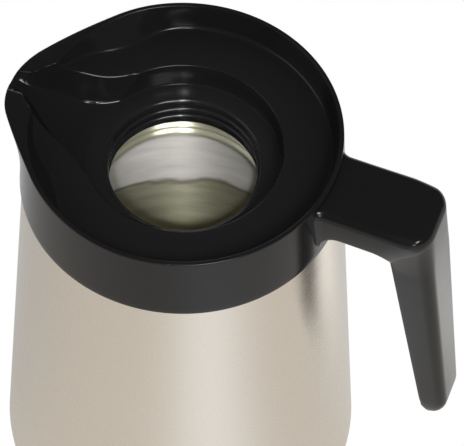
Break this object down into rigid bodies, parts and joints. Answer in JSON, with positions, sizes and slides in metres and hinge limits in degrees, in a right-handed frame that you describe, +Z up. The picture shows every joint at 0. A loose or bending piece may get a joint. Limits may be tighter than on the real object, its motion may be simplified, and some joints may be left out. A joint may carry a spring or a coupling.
{
  "type": "thermal carafe with flip lid",
  "caption": "Double-walled steel vacuum carafe with a moulded pouring collar, cantilever handle and a separate screw-in flip lid.",
  "frame": {"origin": "centre of the foot on the table, on the steel body's axis", "axes": "+Z up along the steel body's axis and out of the mouth, +X toward the handle, -X toward the spout, +Y away from the picture's viewer"},
  "size_m": [0.2071, 0.2392, 0.224],
  "materials": {
    "steel_brushed": "fine vertical-lit brushed finish, brushed round the body",
    "steel_bright": "electropolished food-grade steel",
    "steel_plain": "plain rolled sheet, unseen inside",
    "steel_screw": "turned and zinc-bright",
    "getter_metal": "pressed porous powder",
    "plastic_gloss": "moulded, high gloss",
    "plastic_black": "moulded, semi gloss",
    "plastic_matt": "moulded, fine matt",
    "plastic_grey": "glass-filled, plain",
    "rubber_black": "smooth moulded rubber",
    "silicone": "translucent milky silicone"
  },
  "bodies": {
    "carafe": {"outer_shell": "steel_brushed", "inner_liner": "steel_bright", "shell_base": "steel_plain", "vacuum_plug": "steel_plain", "getter": "getter_metal", "base_pad": "rubber_black", "collar": "plastic_gloss", "neck_insert": "plastic_black", "neck_gasket": "silicone", "clamp_halves": "plastic_grey", "clamp_screws": "steel_screw", "handle_shell": "plastic_gloss", "handle_cover": "plastic_matt", "handle_screws": "steel_screw"},
    "lid": {"lid_top": "plastic_gloss", "lid_plug": "plastic_black", "plug_seal": "silicone", "hinge_pin": "steel_screw"},
    "cap": {"flip_cap": "plastic_gloss", "cap_seal": "silicone"}
  },
  "joints": [
    {"name": "lid_lift", "type": "slide", "parent": "carafe", "child": "lid", "axis": [0, 0, 1], "range_m": [0, 0.245]},
    {"name": "cap_hinge", "type": "hinge", "parent": "lid", "child": "cap", "pos_m": [-0.0134, 0.121, 0.0266], "axis": [0, 1, 0], "range_deg": [0, 105]}
  ]
}
